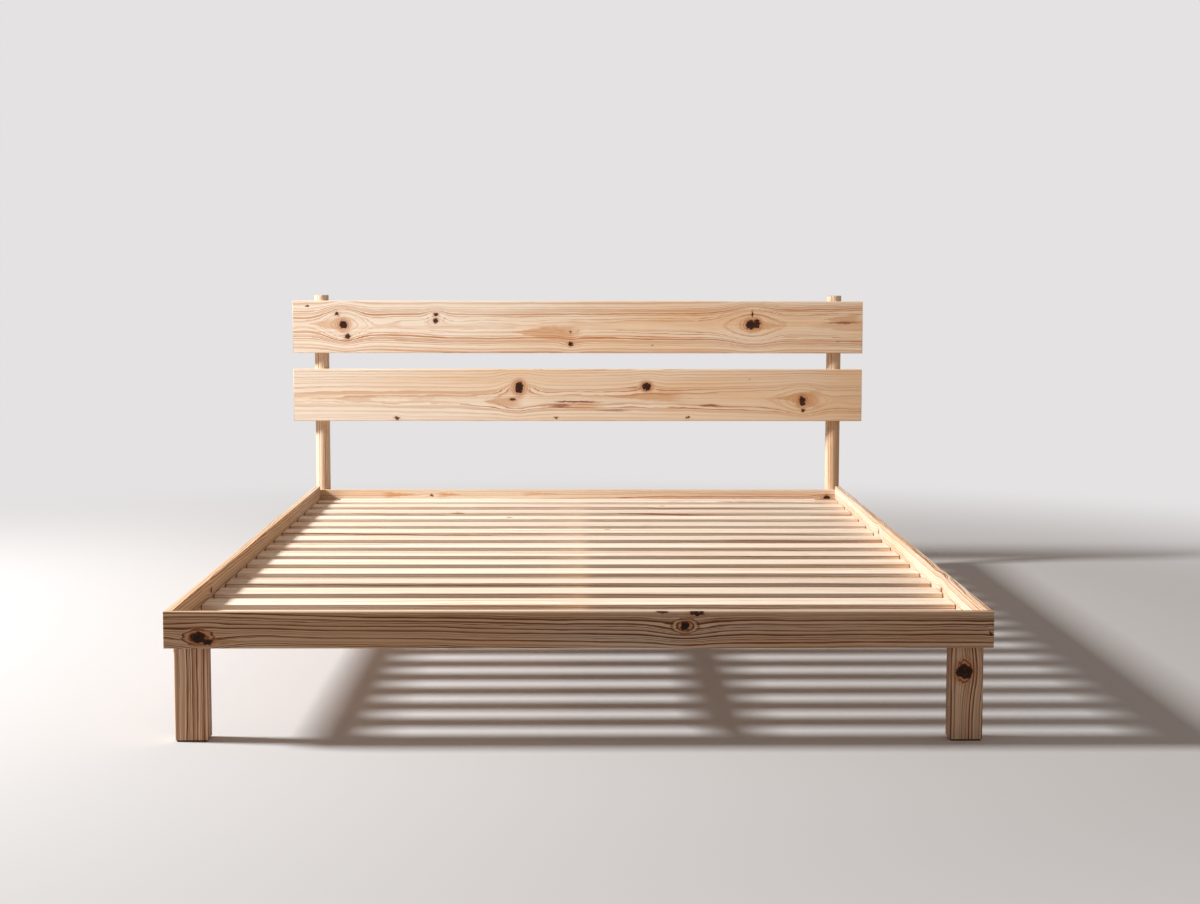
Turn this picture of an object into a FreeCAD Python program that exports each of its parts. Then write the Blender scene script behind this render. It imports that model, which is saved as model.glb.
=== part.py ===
import FreeCAD, Part
import os

# Low pine platform bed with a slatted deck and a two-plank headboard. Millimetres, +Z up.
# The origin lies on the floor, in the middle of the outer length and width.
# +X is to the right and +Y towards the headboard, seen from the foot of the bed.

# mattress and the room round it
mattress_width = 1372
mattress_length = 1905
mattress_side_room = 8
mattress_end_room = 7.5

# rail frame
rail_thickness = 14
rail_height = 63
head_rail_height = 53
rail_underside = 165
rail_ease = 1.5

# legs
leg_width = 56
leg_depth = 42
leg_top_drop = 1
leg_ease = 2
pad_thickness = 3
pad_inset = 2

# slats and the ledger strips that carry them
slat_count = 16
slat_width = 70
slat_thickness = 14
slat_drop = 33
slat_ease = 2
slat_end_clearance = 2
slat_side_clearance = 2
notch_clearance = 1.5
ledger_width = 30
ledger_end_clearance = 0.3

# centre beam, its brackets and its leg
beam_width = 30
beam_depth = 45
beam_taper_length = 160
beam_end_clearance = 0.3
bracket_leg = 30
bracket_thickness = 2
bracket_margin = 1
bridle_depth = 30
bridle_clearance = 0.1

# headboard
post_diameter = 38
post_top = 741
post_flat_depth = 1.5
post_top_bevel = 2
plank_length = 1524
plank_height = 139
plank_thickness = 18
plank_gap = 43
lower_plank_underside = 405
plank_ease = 2

# bolts that join the legs and the posts to the rails
bolt_clearance = 0.1
bolt_grip = 9.5
blind_hole_margin = 1
leg_bolt_radius = 3
leg_bolt_head_radius = 5
leg_bolt_head_height = 5
leg_bolt_recess = 6
side_bolt_rise = 8
end_bolt_drop = 8
post_bolt_radius = 4
post_bolt_head_radius = 6.5
post_bolt_head_height = 8
post_bolt_recess = 10
post_bolt_edge = 13

# angle within which an edge counts as parallel to an axis, in radians
angle_tolerance = 0.001

# levels
rail_top = rail_underside + rail_height
slat_top = rail_top - slat_drop
slat_underside = slat_top - slat_thickness
leg_top = slat_top - leg_top_drop
beam_underside = slat_underside - beam_depth
upper_plank_underside = lower_plank_underside + plank_height + plank_gap
plank_undersides = {"lower": lower_plank_underside, "upper": upper_plank_underside}

# plan
inner_width = mattress_width + 2 * mattress_side_room
inner_length = mattress_length + 2 * mattress_end_room
outer_width = inner_width + 2 * rail_thickness
frame_length = inner_length + 2 * rail_thickness
post_projection = post_diameter - post_flat_depth
foot_face = -(frame_length + post_projection) / 2
deck_front = foot_face + rail_thickness
deck_back = deck_front + inner_length
frame_back = deck_back + rail_thickness
deck_middle = (deck_front + deck_back) / 2
post_x = outer_width / 2 - post_diameter / 2
post_y = frame_back + post_diameter / 2 - post_flat_depth
post_back = frame_back + post_projection

X = FreeCAD.Vector(1, 0, 0)
Y = FreeCAD.Vector(0, 1, 0)
Z = FreeCAD.Vector(0, 0, 1)
SIDES = {"left": -1, "right": 1}
ENDS = {"front": -1, "rear": 1}


# shapes

def block(x_range, y_range, z_range):
    """Plain board between two limits on each axis."""
    low = [min(limits) for limits in (x_range, y_range, z_range)]
    size = [abs(limits[1] - limits[0]) for limits in (x_range, y_range, z_range)]
    return Part.makeBox(*size, FreeCAD.Vector(*low))


def eased(board, radius, *axes, above=0):
    """Board with its edges along the given axes rounded, of those above a level."""
    edges = []
    for edge in board.Edges:
        direction = edge.tangentAt(edge.FirstParameter)
        parallel = any(direction.isParallel(axis, angle_tolerance) for axis in axes)
        if parallel and edge.CenterOfMass.z > above:
            edges.append(edge)
    return board.makeFillet(radius, edges)


def turned(outline):
    """Solid of revolution about Z from an outline of (radius, height) points."""
    points = [FreeCAD.Vector(radius, 0, height) for radius, height in outline]
    face = Part.Face(Part.makePolygon(points + points[:1]))
    return face.revolve(FreeCAD.Vector(), Z, 360)


def standing(solid, places, direction):
    """Copies of a solid at every place, with its own Z turned to a direction."""
    copies = []
    for place in places:
        piece = solid.copy()
        piece.Placement = FreeCAD.Placement(FreeCAD.Vector(*place), FreeCAD.Rotation(Z, direction))
        copies.append(piece)
    return copies


def at_sides(make):
    """Pieces made for the left and the right side."""
    return [piece for side in SIDES.values() for piece in make(side)]


def at_corners(make):
    """Pieces made for the four corners."""
    return [piece for side in SIDES.values() for end in ENDS.values() for piece in make(side, end)]


# bolts along +Z from z = 0, and the holes that they need

def bolt(recess, head_radius, head_height, radius, length):
    """Bolt whose head stands on the bottom of a recess."""
    top = recess - head_height
    tip = recess + length
    head = [(0, top), (head_radius, top), (head_radius, recess)]
    return turned(head + [(radius, recess), (radius, tip), (0, tip)])


def bolt_hole(recess, head_radius, radius, through):
    """Stepped clearance hole of a bolt through a whole piece."""
    wide = head_radius + bolt_clearance
    narrow = radius + bolt_clearance
    return turned([(0, 0), (wide, 0), (wide, recess), (narrow, recess), (narrow, through), (0, through)])


def grip_hole(radius):
    """Blind hole in a rail that the end of a bolt turns into."""
    return Part.makeCylinder(radius + bolt_clearance, bolt_grip + blind_hole_margin)


def leg_bolt(leg_size):
    """Bolt that crosses a leg and grips the rail behind it."""
    length = leg_size - leg_bolt_recess + bolt_grip
    return bolt(leg_bolt_recess, leg_bolt_head_radius, leg_bolt_head_height, leg_bolt_radius, length)


def leg_bolt_hole(leg_size):
    """Hole of a leg bolt through a leg."""
    return bolt_hole(leg_bolt_recess, leg_bolt_head_radius, leg_bolt_radius, leg_size)


# where the corners, slats and bolts are

def inner_corner(side, end):
    """X of the side rail's inner face and Y of the end rail's inner face."""
    return side * inner_width / 2, (deck_front if end < 0 else deck_back)


def leg_middle(side, end):
    """Middle of a corner leg in plan."""
    x, y = inner_corner(side, end)
    return x - side * leg_width / 2, y - end * leg_depth / 2


def slat_front(index):
    """Y of a slat's front edge."""
    pitch = (inner_length - 2 * slat_end_clearance - slat_width) / (slat_count - 1)
    return deck_front + slat_end_clearance + index * pitch


def side_bolt_place(side, end, x):
    """Bolt between a leg and the side rail, at the given X."""
    return [(x, leg_middle(side, end)[1], rail_underside + side_bolt_rise)]


def end_bolt_place(side, end, y):
    """Bolt between a leg and the end rail, at the given Y, above the side bolt."""
    return [(leg_middle(side, end)[0], y, leg_top - end_bolt_drop)]


def post_bolt_places(side, y):
    """Bolts between a post and the head rail, one near each edge of the rail."""
    low = rail_underside + post_bolt_edge
    high = rail_underside + head_rail_height - post_bolt_edge
    return [(side * post_x, y, z) for z in (low, high)]


# frame

def end_rail(height, end):
    """Foot or head rail across the ends of the side rails."""
    inner = inner_corner(1, end)[1]
    y_limits = (inner, inner + end * rail_thickness)
    rail = block((-outer_width / 2, outer_width / 2), y_limits, (rail_underside, rail_underside + height))
    tool = grip_hole(leg_bolt_radius)
    holes = at_sides(lambda side: standing(tool, end_bolt_place(side, end, inner), Y * end))
    return eased(rail, rail_ease, X, Z).cut(holes)


def head_rail():
    """Head rail, which also takes the bolts of the headboard posts in its back."""
    tool = grip_hole(post_bolt_radius)
    holes = at_sides(lambda side: standing(tool, post_bolt_places(side, frame_back), -Y))
    return end_rail(head_rail_height, ENDS["rear"]).cut(holes)


def side_rail(side):
    """Side rail between the end rails."""
    inner = side * inner_width / 2
    rail = block((inner, side * outer_width / 2), (deck_front, deck_back), (rail_underside, rail_top))
    holes = []
    for end in ENDS.values():
        holes += standing(grip_hole(leg_bolt_radius), side_bolt_place(side, end, inner), X * side)
    return eased(rail, rail_ease, Y).cut(holes)


def leg(side, end):
    """Corner leg on its pad, bolted to the side rail and the end rail from inside."""
    inner_x, inner_y = inner_corner(side, end)
    near_x = inner_x - side * leg_width
    near_y = inner_y - end * leg_depth
    post = block((inner_x, near_x), (inner_y, near_y), (pad_thickness, leg_top))
    holes = standing(leg_bolt_hole(leg_width), side_bolt_place(side, end, near_x), X * side)
    holes += standing(leg_bolt_hole(leg_depth), end_bolt_place(side, end, near_y), Y * end)
    return eased(post, leg_ease, Z).cut(holes)


def pad(x, y):
    """Felt pad under a leg, a little smaller than the leg all round."""
    half_x = leg_width / 2 - pad_inset
    half_y = leg_depth / 2 - pad_inset
    return block((x - half_x, x + half_x), (y - half_y, y + half_y), (0, pad_thickness))


# deck

def ledger(side):
    """Strip along a side rail, flush with its underside, that carries the slat ends."""
    reach = leg_depth + ledger_end_clearance
    x_limits = (side * (inner_width / 2 - ledger_width), side * inner_width / 2)
    return block(x_limits, (deck_front + reach, deck_back - reach), (rail_underside, slat_underside))


def leg_notch(side, end):
    """Room for a leg's top, with its clearance, at the level of the slats."""
    x, y = inner_corner(side, end)
    x_limits = (x, x - side * (leg_width + notch_clearance))
    y_limits = (y, y - end * (leg_depth + notch_clearance))
    return [block(x_limits, y_limits, (slat_underside, slat_top))]


def slat(index):
    """Slat across both ledgers, rounded on top. The end slats are notched round the legs."""
    half = inner_width / 2 - slat_side_clearance
    front = slat_front(index)
    board = block((-half, half), (front, front + slat_width), (slat_underside, slat_top))
    return eased(board, slat_ease, X, above=slat_underside).cut(at_corners(leg_notch))


# centre support

def centre_beam():
    """Beam under the slats, tapered so that its ends are no deeper than the rails allow."""
    start = deck_front + beam_end_clearance
    stop = deck_back - beam_end_clearance
    outline = [
        (start, slat_underside),
        (stop, slat_underside),
        (stop, rail_underside),
        (stop - beam_taper_length, beam_underside),
        (start + beam_taper_length, beam_underside),
        (start, rail_underside),
    ]
    points = [FreeCAD.Vector(-beam_width / 2, y, z) for y, z in outline]
    return Part.Face(Part.makePolygon(points + points[:1])).extrude(X * beam_width)


def centre_leg():
    """Leg at the middle of the bed whose open bridle straddles the beam."""
    top = beam_underside + bridle_depth
    y_limits = (deck_middle - leg_depth / 2, deck_middle + leg_depth / 2)
    post = block((-leg_width / 2, leg_width / 2), y_limits, (pad_thickness, top))
    slot_half = beam_width / 2 + bridle_clearance
    slot = block((-slot_half, slot_half), y_limits, (beam_underside, top))
    return eased(post, leg_ease, Z).cut(slot)


def bracket(side, end):
    """Steel angle in the corner between the beam and an end rail."""
    x = side * beam_width / 2
    y = inner_corner(side, end)[1]
    z_limits = (rail_underside + bracket_margin, slat_underside - bracket_margin)
    on_rail = block((x, x + side * bracket_leg), (y, y - end * bracket_thickness), z_limits)
    on_beam = block((x, x + side * bracket_thickness), (y, y - end * bracket_leg), z_limits)
    return [on_rail.fuse(on_beam).removeSplitter()]


# headboard

def headboard_post(side):
    """Round post with a bevelled top and flats behind the head rail and both planks."""
    half = post_diameter / 2
    rim = [(half, rail_underside), (half, post_top - post_top_bevel), (half - post_top_bevel, post_top)]
    post = turned([(0, rail_underside)] + rim + [(0, post_top)])
    post.translate(FreeCAD.Vector(side * post_x, post_y, 0))
    x_limits = (side * post_x - half, side * post_x + half)
    seats = [(rail_underside, rail_underside + head_rail_height)]
    seats += [(underside, underside + plank_height) for underside in plank_undersides.values()]
    holes = [block(x_limits, (post_y - half, frame_back), seat) for seat in seats]
    tool = bolt_hole(post_bolt_recess, post_bolt_head_radius, post_bolt_radius, post_projection)
    holes += standing(tool, post_bolt_places(side, post_back), -Y)
    return post.cut(holes)


def headboard_plank(underside):
    """Headboard plank across the front of both posts."""
    y_limits = (frame_back - plank_thickness, frame_back)
    board = block((-plank_length / 2, plank_length / 2), y_limits, (underside, underside + plank_height))
    return eased(board, plank_ease, X, Z)


# groups of identical small pieces

def leg_pads():
    """Pads under the corner legs and the centre leg."""
    return at_corners(lambda side, end: [pad(*leg_middle(side, end))]) + [pad(0, deck_middle)]


def side_bolt(side, end):
    """Bolt from a leg into the side rail."""
    near_x = side * (inner_width / 2 - leg_width)
    return standing(leg_bolt(leg_width), side_bolt_place(side, end, near_x), X * side)


def end_bolt(side, end):
    """Bolt from a leg into the end rail."""
    near_y = inner_corner(side, end)[1] - end * leg_depth
    return standing(leg_bolt(leg_depth), end_bolt_place(side, end, near_y), Y * end)


def post_bolts(side):
    """Bolts from the back of a post into the head rail."""
    length = post_projection - post_bolt_recess + bolt_grip
    piece = bolt(post_bolt_recess, post_bolt_head_radius, post_bolt_head_height, post_bolt_radius, length)
    return standing(piece, post_bolt_places(side, post_back), -Y)


def build():
    """Every node, by name."""
    nodes = {
        "foot_rail": end_rail(rail_height, ENDS["front"]),
        "head_rail": head_rail(),
        "centre_beam": centre_beam(),
        "centre_leg": centre_leg(),
    }
    for side_name, side in SIDES.items():
        nodes["side_rail_" + side_name] = side_rail(side)
        nodes["ledger_" + side_name] = ledger(side)
        nodes["headboard_post_" + side_name] = headboard_post(side)
        for end_name, end in ENDS.items():
            nodes["leg_" + end_name + "_" + side_name] = leg(side, end)
    for index in range(slat_count):
        nodes["slat_%02d" % (index + 1)] = slat(index)
    for plank_name, underside in plank_undersides.items():
        nodes["headboard_plank_" + plank_name] = headboard_plank(underside)
    groups = {
        "leg_pads": leg_pads(),
        "leg_bolts_side": at_corners(side_bolt),
        "leg_bolts_end": at_corners(end_bolt),
        "beam_brackets": at_corners(bracket),
        "post_bolts": at_sides(post_bolts),
    }
    for name, pieces in groups.items():
        nodes[name] = Part.makeCompound(pieces)
    return nodes


os.makedirs("parts", exist_ok=True)
for name, shape in build().items():
    shape.exportStep("parts/" + name + ".step")
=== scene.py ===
import math
from collections import namedtuple

import bmesh
import bpy
from mathutils import Matrix, Vector


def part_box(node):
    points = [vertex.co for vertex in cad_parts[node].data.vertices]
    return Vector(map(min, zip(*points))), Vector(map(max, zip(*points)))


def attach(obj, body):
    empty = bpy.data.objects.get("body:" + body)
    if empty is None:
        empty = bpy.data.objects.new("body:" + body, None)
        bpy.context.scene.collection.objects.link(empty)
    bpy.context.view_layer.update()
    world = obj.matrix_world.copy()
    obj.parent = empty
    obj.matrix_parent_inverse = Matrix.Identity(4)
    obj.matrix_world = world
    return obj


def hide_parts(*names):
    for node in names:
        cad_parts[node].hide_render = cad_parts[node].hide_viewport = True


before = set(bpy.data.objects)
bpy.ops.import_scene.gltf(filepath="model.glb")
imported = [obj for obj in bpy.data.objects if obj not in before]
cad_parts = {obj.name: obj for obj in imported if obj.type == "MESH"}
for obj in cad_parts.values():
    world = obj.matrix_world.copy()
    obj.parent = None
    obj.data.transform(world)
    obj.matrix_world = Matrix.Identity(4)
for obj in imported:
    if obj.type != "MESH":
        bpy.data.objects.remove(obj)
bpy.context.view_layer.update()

# Low pine platform bed with a slatted deck and a two-plank headboard, dressed on its solids.
# Metres, +Z up, +Y towards the headboard.

scene = bpy.context.scene
MM = 0.001

# axes along the grain, across a board's face and into it
ALONG_X = (0, 2, 1)
ALONG_X_FLAT = (0, 1, 2)
ALONG_Y = (1, 2, 0)
ALONG_Z = (2, 0, 1)


# expressions and nodes

class Value:
    """One output of a node. Sums, products and powers of values add Math nodes."""

    def __init__(self, tree, socket):
        self.tree = tree
        self.socket = socket

    def output(self, key):
        return Value(self.tree, self.socket.node.outputs[key])

    def maths(self, operation, *values):
        return self.tree.node("ShaderNodeMath", {"operation": operation}, dict(enumerate(values)))

    def __add__(self, other):
        return self.maths("ADD", self, other)

    def __sub__(self, other):
        return self.maths("SUBTRACT", self, other)

    def __mul__(self, other):
        return self.maths("MULTIPLY", self, other)

    def __truediv__(self, other):
        return self.maths("DIVIDE", self, other)

    def __pow__(self, other):
        return self.maths("POWER", self, other)

    def __rsub__(self, other):
        return self.maths("SUBTRACT", other, self)

    def __neg__(self):
        return self.maths("MULTIPLY", self, -1)

    def __abs__(self):
        return self.maths("ABSOLUTE", self)

    __radd__ = __add__
    __rmul__ = __mul__

    def most(self, other):
        return self.maths("MAXIMUM", self, other)

    def fraction(self):
        return self.maths("FRACT", self)

    def whole(self):
        return self.maths("FLOOR", self)

    def bell(self):
        """1 where the value is 0, falling to nothing as its square root grows."""
        return self.maths("EXPONENT", -self)

    def rise(self, low, high):
        """0 below low, 1 above high, and a smooth step between."""
        settings = {"interpolation_type": "SMOOTHSTEP"}
        inputs = {"Value": self, "From Min": low, "From Max": high}
        return self.tree.node("ShaderNodeMapRange", settings, inputs)


class Tree:
    """Adds nodes to one shader or geometry tree."""

    def __init__(self, tree):
        self.tree = tree
        tree.nodes.clear()

    def feed(self, socket, value):
        if isinstance(value, (list, tuple)) and value and isinstance(value[0], Value):
            for part in value:
                self.tree.links.new(part.socket, socket)
        elif isinstance(value, Value):
            self.tree.links.new(value.socket, socket)
        else:
            socket.default_value = value

    def node(self, kind, settings=None, inputs=None, output=0):
        made = self.tree.nodes.new(kind)
        for name, setting in (settings or {}).items():
            setattr(made, name, setting)
        for key, value in (inputs or {}).items():
            self.feed(made.inputs[key], value)
        return Value(self, made.outputs[output]) if made.outputs else made

    def vector(self, x, y, z):
        return self.node("ShaderNodeCombineXYZ", inputs={0: x, 1: y, 2: z})

    def split(self, vector):
        """X of a vector; its outputs 0 to 2 are X, Y and Z."""
        return self.node("ShaderNodeSeparateXYZ", inputs={0: vector})

    def blend(self, first, second, share):
        """Colour between two colours."""
        inputs = {0: share, 6: first, 7: second}
        return self.node("ShaderNodeMix", {"data_type": "RGBA", "clamp_factor": True}, inputs, 2)

    def shade(self, colour, strength):
        """Colour made lighter or darker by a factor."""
        inputs = {0: colour, "Scale": strength}
        return self.node("ShaderNodeVectorMath", {"operation": "SCALE"}, inputs)

    def noise(self, spot, scale=1.0, detail=2.0):
        """Cloudy noise round 0."""
        inputs = {"Vector": spot, "Scale": scale, "Detail": detail}
        return self.node("ShaderNodeTexNoise", inputs=inputs) - 0.5

    def chance(self, number):
        """A random number from 0 to 1 for each whole number."""
        return self.node("ShaderNodeTexWhiteNoise", {"noise_dimensions": "1D"}, {"W": number})

    def bump(self, height, distance):
        inputs = {"Height": height, "Distance": distance, "Strength": 1.0}
        return self.node("ShaderNodeBump", inputs=inputs)


def paint(red, green, blue):
    """Linear colour with full cover from 0 to 255 display values."""
    def linear(level):
        share = level / 255
        return share / 12.92 if share <= 0.04045 else ((share + 0.055) / 1.055) ** 2.4
    return linear(red), linear(green), linear(blue), 1.0


VIEWPORT_COLOUR = (0.75, 0.55, 0.38, 1.0)


def finish_tree(name):
    """New material and its empty tree."""
    material = bpy.data.materials.new(name)
    material.use_nodes = True
    return material, Tree(material.node_tree)


def surfaced(material, tree, inputs):
    """Material with one surface shader and the given inputs."""
    shader = tree.node("ShaderNodeBsdfPrincipled", inputs=inputs)
    tree.node("ShaderNodeOutputMaterial", inputs={"Surface": shader})
    material.diffuse_color = VIEWPORT_COLOUR
    return material


# pine

EARLYWOOD = paint(250, 238, 220)
EARLYWOOD_WARM = paint(238, 206, 170)
LATEWOOD = paint(184, 120, 72)
LATEWOOD_PALE = paint(198, 136, 86)
LATEWOOD_DARK = paint(128, 76, 44)
STREAK = paint(218, 158, 106)
END_GRAIN = paint(196, 152, 110)
KNOT_PALE = paint(150, 92, 56)
KNOT_DARK = paint(30, 14, 12)
KNOT_RIM = paint(70, 34, 24)
KNOT_HALO = paint(186, 118, 76)
RESIN = paint(134, 58, 28)
FLAME = paint(216, 168, 124)
PINE_LEVEL = 0.92  # keeps the palest wood under full white

# marks in millimetres from the board's middle; a flame's half_length has the sign of its tip's side
Knot = namedtuple("Knot", "along across half_length half_height eye_length eye_height swell dark")
Streak = namedtuple("Streak", "along across half_length half_height strength")

# layers of noise: scales along and across the grain
Layer = namedtuple("Layer", "along across detail shift strength")
# how far the rings wander, in metres
BEND = Layer(1.1, 4.5, 1.0, 2.0, 0.016)
WAVE = Layer(7.0, 22.0, 3.0, 8.0, 0.0042)
RIPPLE = Layer(11.0, 260.0, 2.0, 31.0, 0.0018)
# zones of redder wood, patches of stronger rings, and streaks
ZONE = Layer(1.6, 14.0, 2.0, 3.0, 1.0)
PATCH = Layer(1.4, 20.0, 1.0, 17.0, 2.0)
STREAKS = Layer(1.0, 80.0, 2.0, 23.0, 1.0)
# fibres and pores
FIBRE = Layer(7.0, 620.0, 3.0, 0.0, 1.0)
PORES = Layer(45.0, 2300.0, 2.0, 0.0, 1.0)
# frayed outlines of marks and ragged ones of knots, in metres
FRAY_ALONG = Layer(60, 90, 3.0, 5.0, 0.007)
FRAY_ACROSS = Layer(90, 120, 3.0, 6.0, 0.006)
RAGGED_ALONG = Layer(150, 150, 3.0, 11.0, 0.011)
RAGGED_ACROSS = Layer(150, 150, 3.0, 12.0, 0.011)
# clouds in flames, resin and knots
FLAME_CLOUD = Layer(18, 60, 2.0, 0.0, 1.0)
RESIN_CLOUD = Layer(30, 160, 2.0, 0.0, 0.8)
KNOT_CLOUD = Layer(260, 260, 3.0, 9.0, 2.0)

RING_CREEP = 0.006  # drift of a ring over a metre of length, in metres
RING_CHANGE = 0.55  # how fast ring widths change from year to year
RING_UNEVEN = 1.3
KNOT_PULL = 0.6  # how far a knot draws the grain to itself
COLLAR_SWELL = 5  # least swell of a knot that has rings of its own
COLLAR_LENGTH = 0.65
COLLAR_HEIGHT = 0.75
GRAIN_HEIGHT = 0.00035

# a row's knots: their places spread over the first two measures; some boards have none
ROW_KNOT = Knot(1450, 44, 6, 4, 30, 14, 3, 1.0)
ROW_KNOT_LUCK = (0.35, 0.5)
ROW_SEED_STEP = 7.3
ROW_PITH_SPREAD = 0.11
ROW_PITH_DEPTH = 0.03
ROW_PITH_MORE = 0.06
ROW_TONE = 0.93
ROW_TONE_MORE = 0.13


def spans(spot_a, spot_c, mark, half_length, half_height):
    """Place across a mark, from -1 to 1 along it and across it."""
    u = (spot_a - mark.along * MM) / (half_length * MM)
    v = (spot_c - mark.across * MM) / (half_height * MM)
    return u, v


def oval(spot_a, spot_c, mark):
    """Distance from the middle of a mark, 1 on its edge."""
    u, v = spans(spot_a, spot_c, mark, mark.half_length, mark.half_height)
    return (u * u + v * v) ** 0.5


def pine(
        name, axes, middle, pith, ring, seed, knots=(), resin=(), flames=(),
        tone=1.0, contrast=1.0, latewood=LATEWOOD, warmth=(0.38, 0.0), row=None):
    """Planed pine. The grain runs along the first axis; pith and ring are in millimetres.

    pith is the middle of the trunk across the face and into the board, from the board's middle.
    warmth is the share of redder ground at the board's middle, and its growth over a metre.
    A row of equal boards is given by its first edge and pitch. Each board gets its own grain,
    and some get a knot.
    """
    material, tree = finish_tree(name)
    place = tree.split(tree.node("ShaderNodeTexCoord", output="Object"))
    a, c, d = (place.output(axis) - middle[axis] for axis in axes)
    pith_c, pith_d = (side * MM for side in pith)
    if row:
        first, pitch = row
        across = place.output(axes[1])
        board = ((across - first) / pitch).whole()
        luck, luck_2, luck_3 = (tree.chance(board + seed + step) for step in (0, 40.5, 90.5))
        c = across - first - (board + 0.5) * pitch
        knots = (ROW_KNOT._replace(
            along=(luck_3 - 0.5) * ROW_KNOT.along, across=(luck_2 - 0.5) * ROW_KNOT.across,
            dark=luck.rise(*ROW_KNOT_LUCK)),)
        seed = board * ROW_SEED_STEP + seed
        pith_c = (luck - 0.5) * ROW_PITH_SPREAD
        pith_d = ROW_PITH_DEPTH + luck_2 * ROW_PITH_MORE
        tone = tone * (ROW_TONE + ROW_TONE_MORE * luck_2)

    def cloud(layer, shift=0.0):
        """One layer of noise in the board's own directions."""
        spot = tree.vector(
            a * layer.along + seed, c * layer.across + (layer.shift + shift), d * layer.across)
        return tree.noise(spot, detail=layer.detail) * layer.strength

    def lines(years, thin):
        """Latewood lines of growth rings: a slow start and a sharp end."""
        part = years.fraction()
        return part.rise(0.2, 0.9) ** thin * (1 - part.rise(0.92, 1.0))

    # the growth rings, bent round the knots
    bent = c
    swell = 0
    for knot in knots:
        u, v = spans(a, c, knot, knot.eye_length, knot.eye_height)
        eye = (u * u + 1.3 * (v * v + 0.03) ** 0.5).bell()
        bent = bent - (c - knot.across * MM) * eye * KNOT_PULL
        swell = swell - eye * (knot.swell * MM)
    from_c = bent - pith_c
    from_d = d - pith_d
    radius = (from_c * from_c + from_d * from_d) ** 0.5
    wander = cloud(BEND) + cloud(WAVE) + cloud(RIPPLE)
    years = (radius + wander + swell - a * RING_CREEP) / (ring * MM)
    inputs = {"W": years * RING_CHANGE + seed, "Detail": 1.0}
    uneven = tree.node("ShaderNodeTexNoise", {"noise_dimensions": "1D"}, inputs)
    years = years + uneven * RING_UNEVEN
    vigour = 0.25 + 1.0 * tree.chance(years.whole() + seed)

    # rings that lie flat in the surface fade into each other
    normal = tree.split(tree.node("ShaderNodeNewGeometry", output="Normal"))
    facing = (normal.output(axes[1]) * from_c + normal.output(axes[2]) * from_d) / radius
    slope = (1 - facing * facing).most(0) ** 0.5
    patchy = (0.85 + cloud(PATCH)).most(0.4)
    late = lines(years, 1.5) * vigour * patchy * (0.3 + 0.7 * slope.rise(0.05, 0.4))

    # fibres, and frayed places for the marks
    fibre = cloud(FIBRE)
    pores = cloud(PORES)
    zone = cloud(ZONE)
    near_a = a + cloud(FRAY_ALONG)
    near_c = c + cloud(FRAY_ACROSS)

    # knots: a dark core, and rings of their own round the large ones
    core = depth = rim = halo = collar = own = 0
    if knots:
        rough_a = a + cloud(RAGGED_ALONG)
        rough_c = c + cloud(RAGGED_ACROSS)
    for knot in knots:
        edge = oval(rough_a, rough_c, knot)
        mask = (1 - edge.rise(0.84, 1.12)) * (1.0 if isinstance(knot.dark, float) else knot.dark)
        core = mask.most(core)
        depth = (mask * knot.dark).most(depth)
        rim = (edge.rise(0.45, 0.95) * mask).most(rim)
        halo = ((1 - edge.rise(0.9, 2.2)) * knot.dark).most(halo)
        if knot.swell > COLLAR_SWELL:
            half_height = knot.eye_height * COLLAR_HEIGHT
            u, v = spans(near_a, near_c, knot, knot.eye_length * COLLAR_LENGTH, half_height)
            reach = (u * u + v * v) ** 0.5
            near = 1 - reach.rise(0.55, 1.05)
            own = own + lines(reach * (half_height / ring) + uneven * 0.7, 1.2) * near
            collar = near.most(collar)
    if collar:
        late = late * (1 - collar) + own * (0.55 + patchy * 0.3)

    # the colours, from the ground to the marks
    colour = tree.blend(EARLYWOOD, EARLYWOOD_WARM, zone * 2.6 + a * warmth[1] + warmth[0])
    colour = tree.blend(colour, STREAK, cloud(STREAKS).rise(0.07, 0.34) * 0.55)
    if collar:
        colour = tree.blend(colour, FLAME, collar * 0.35)
    for mark in flames:
        u, v = spans(near_a, near_c, mark, mark.half_length, mark.half_height)
        width = ((1 - u) * 0.5).most(0.02)
        sides = 1 - (abs(v) / width + cloud(FLAME_CLOUD, mark.along)).rise(0.5, 1.1)
        back = 1 - (-u).rise(0.5, 1.2)
        colour = tree.blend(colour, FLAME, sides * back * mark.strength)
    colour = tree.blend(colour, latewood, late * 0.95 * contrast)
    for mark in resin:
        spread = oval(near_a, near_c, mark) + cloud(RESIN_CLOUD, mark.along)
        colour = tree.blend(colour, RESIN, (1 - spread.rise(0.3, 1.0)) * mark.strength)
    if knots:
        colour = tree.blend(colour, KNOT_HALO, halo * 0.5)
        heart = tree.blend(KNOT_PALE, KNOT_DARK, depth * 1.1 + cloud(KNOT_CLOUD))
        heart = tree.blend(heart, KNOT_RIM, rim * 0.75)
        colour = tree.blend(colour, heart, core * 0.97)
    end = abs(normal.output(axes[0])).rise(0.55, 0.85)
    colour = tree.blend(colour, END_GRAIN, end * 0.35)
    lightness = (1 + fibre * 0.24 + pores * 0.12 + zone * 0.10) * (tone * PINE_LEVEL)
    colour = tree.shade(colour, lightness)
    height = late * 0.5 + fibre * 0.5 + pores * 0.35 - core * 0.4
    inputs = {
        "Base Color": colour,
        "Roughness": 0.70 - late * 0.08 + fibre * 0.15 - core * 0.12 + end * 0.15,
        "Specular IOR Level": 0.12,
        "Normal": tree.bump(height, GRAIN_HEIGHT),
    }
    return surfaced(material, tree, inputs)


# metal and felt

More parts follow.
